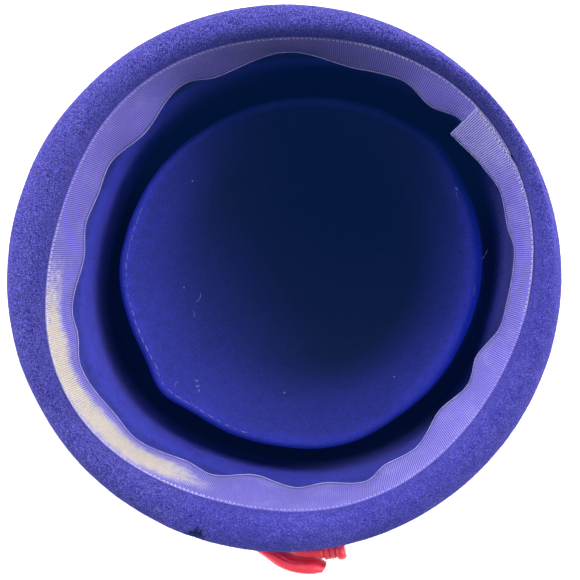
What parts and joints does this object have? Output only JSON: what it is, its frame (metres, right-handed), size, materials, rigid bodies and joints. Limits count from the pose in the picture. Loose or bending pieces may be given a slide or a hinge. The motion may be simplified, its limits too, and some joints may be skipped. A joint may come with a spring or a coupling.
{
  "type": "tilt hat",
  "caption": "Round wool felt hat with a telescoped crown, soft rolled brim, wavy grosgrain sweatband and a small red side trim, lying crown down.",
  "frame": {"origin": "on the floor, under the middle of the bounding box, with the crown ridge resting at z = 0", "axes": "+Z from the crown up to the open head hole, +X to the wearer's left-hand back quarter and -Y to the side that carries the trim"},
  "size_m": [0.2054, 0.2122, 0.1022],
  "materials": {
    "felt": "matt royal blue wool felt with a short nap",
    "ribbon": "blue-violet ribbed grosgrain with a light picot edge and a cream make-up stain",
    "trim": "soft satin coral red"
  },
  "bodies": {
    "root": {"felt_body": "felt", "sweatband": "ribbon", "trim_loop": "trim", "trim_stem": "trim", "trim_binding": "trim"}
  },
  "joints": []
}
